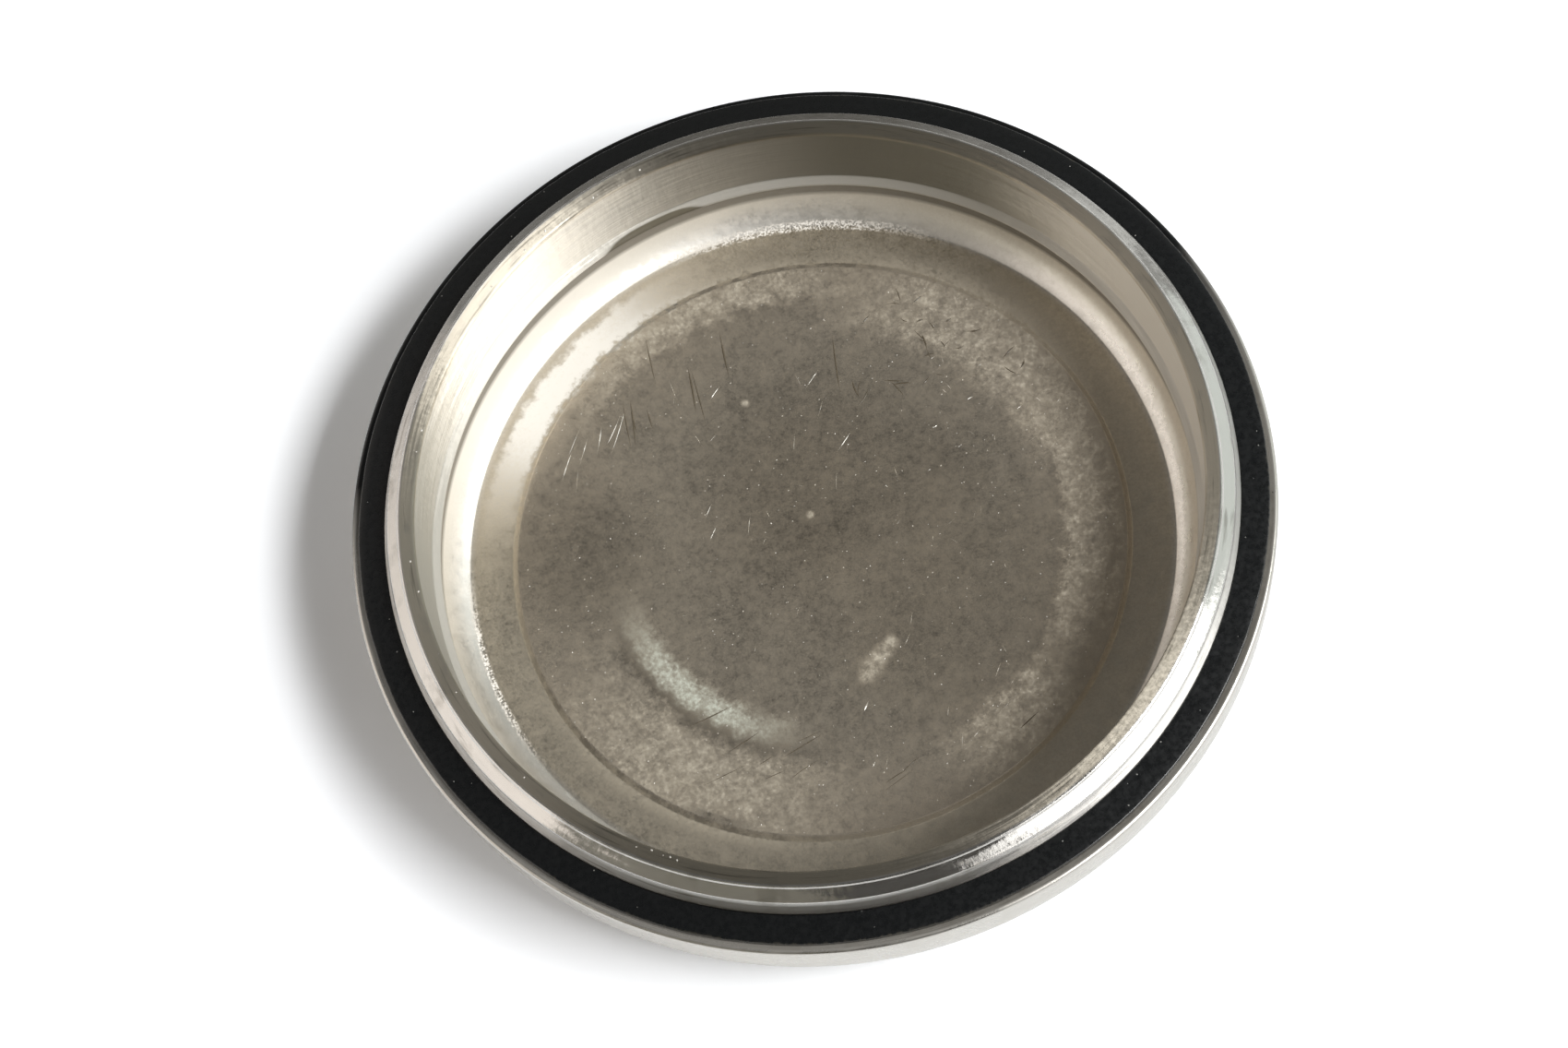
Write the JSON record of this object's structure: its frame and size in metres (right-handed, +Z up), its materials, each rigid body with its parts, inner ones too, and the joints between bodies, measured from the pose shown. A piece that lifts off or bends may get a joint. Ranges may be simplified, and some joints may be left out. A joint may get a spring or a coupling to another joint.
{
  "type": "shoe polish tin base",
  "caption": "Round shallow metal tin base with a rounded pan, a pressed inner bowl, a folded neck for a slip lid and a black seal ring on its ledge.",
  "frame": {"origin": "centre of the underside, on the surface the tin stands on", "axes": "+Z up the tin's axis, out of its mouth"},
  "size_m": [0.072, 0.072, 0.013],
  "materials": {
    "pan_metal": "tinned sheet, worn bright",
    "bowl_metal": "tinned sheet, dulled grey-brown satin",
    "neck_metal": "tinned sheet, polished by the lid",
    "seal_black": "black composition ring, smooth with a low gloss"
  },
  "bodies": {
    "root": {"pan": "pan_metal", "bowl": "bowl_metal", "neck_collar": "neck_metal", "seal_ring": "seal_black"}
  },
  "joints": []
}
